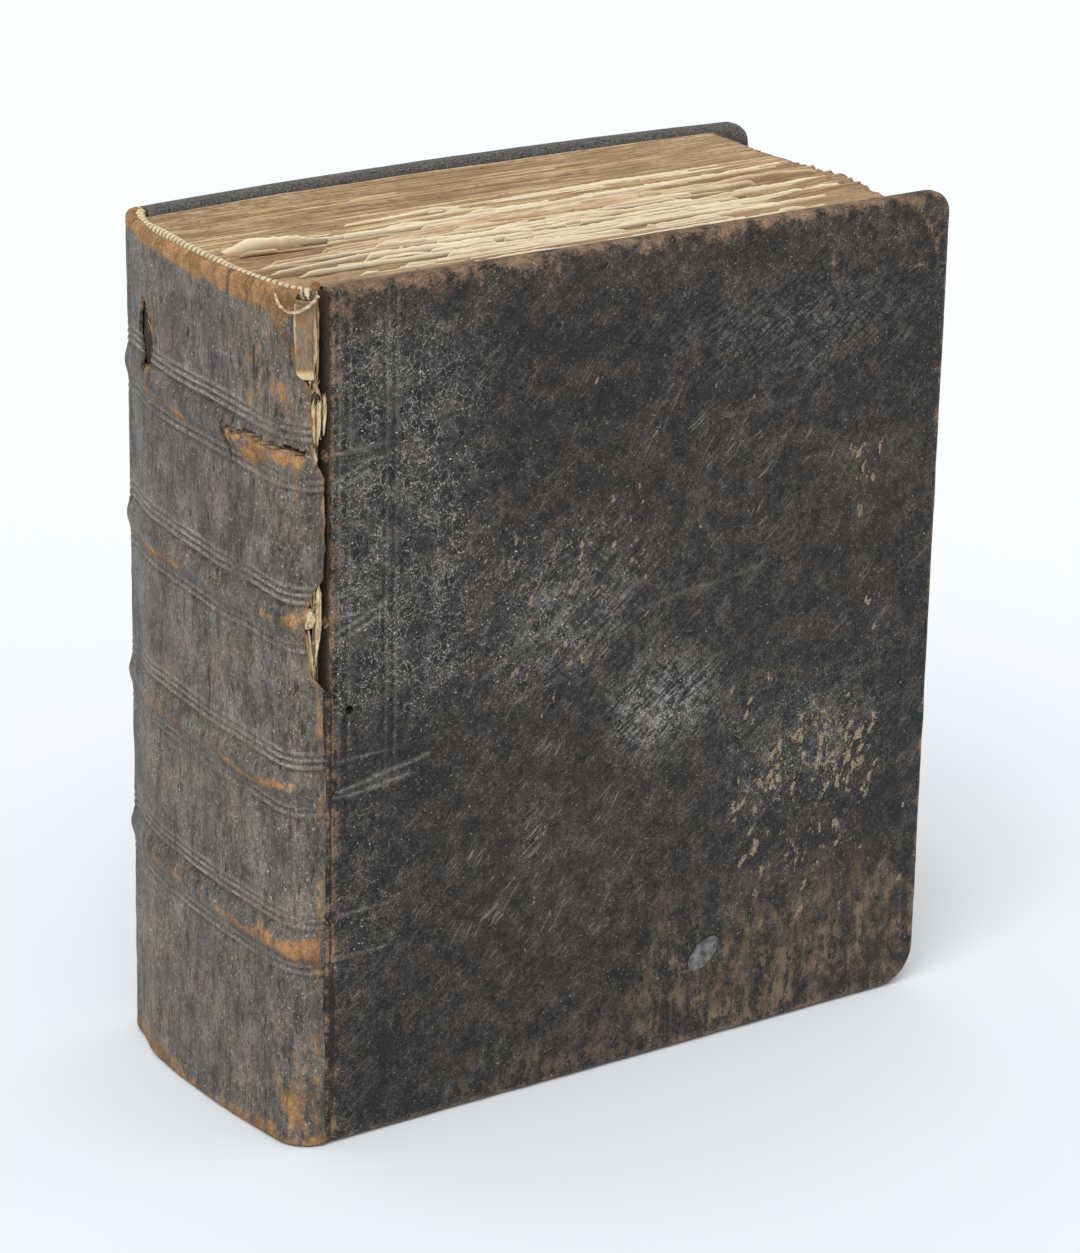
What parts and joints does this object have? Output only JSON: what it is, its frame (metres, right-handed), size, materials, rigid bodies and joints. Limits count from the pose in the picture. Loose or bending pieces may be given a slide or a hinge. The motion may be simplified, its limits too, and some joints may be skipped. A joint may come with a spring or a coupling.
{
  "type": "antique book",
  "caption": "Thick antique book standing on its tail: sewn leaves with a rounded, ridged leather spine and two worn leather-covered boards that swing open at the joints.",
  "frame": {"origin": "centre of the standing book's footprint, on the surface it stands on", "axes": "+Z from tail to head, +X from the spine to the fore-edge, +Y from the front cover to the back cover"},
  "size_m": [0.2094, 0.1002, 0.23],
  "materials": {
    "leaf_paper": "aged rag paper, dusty brown at the trimmed edges, cream where torn",
    "endpaper": "matt laid paper, foxed and browned along the turn-ins",
    "lining_paper": "coarse waste paper stained by old glue",
    "pasteboard": "layered pasteboard, pressed and sized",
    "cover_leather": "near-black worn calf, crackled, scuffed to brown, faint blind fillets",
    "spine_leather": "grey-brown worn calf, wrinkled, rubbed to tan on the bands",
    "hemp_cord": "twisted hemp, dry and frayed",
    "endband_thread": "faded linen thread wound on a cord core"
  },
  "bodies": {
    "book_block": {"text_block": "leaf_paper", "spine_leather": "spine_leather", "head_endband": "endband_thread", "tail_endband": "endband_thread", "joint_lining_tab": "lining_paper", "sewing_cord_1": "hemp_cord", "sewing_cord_2": "hemp_cord", "sewing_cord_3": "hemp_cord", "sewing_cord_4": "hemp_cord", "spine_lining_1": "lining_paper", "spine_lining_2": "lining_paper", "spine_lining_3": "lining_paper", "spine_lining_4": "lining_paper", "spine_lining_5": "lining_paper"},
    "front_cover": {"front_board": "pasteboard", "front_cover_leather": "cover_leather", "front_pastedown": "endpaper", "front_slip_1": "hemp_cord", "front_slip_2": "hemp_cord", "front_slip_3": "hemp_cord", "front_slip_4": "hemp_cord"},
    "back_cover": {"back_board": "pasteboard", "back_cover_leather": "cover_leather", "back_pastedown": "endpaper", "back_slip_1": "hemp_cord", "back_slip_2": "hemp_cord", "back_slip_3": "hemp_cord", "back_slip_4": "hemp_cord"}
  },
  "joints": [
    {"name": "front_cover_swing", "type": "hinge", "parent": "book_block", "child": "front_cover", "pos_m": [-0.09005, -0.05025, 0.115], "axis": [0, 0, -1], "range_deg": [0, 170]},
    {"name": "back_cover_swing", "type": "hinge", "parent": "book_block", "child": "back_cover", "pos_m": [-0.09005, 0.04525, 0.115], "axis": [0, 0, 1], "range_deg": [0, 120]}
  ]
}
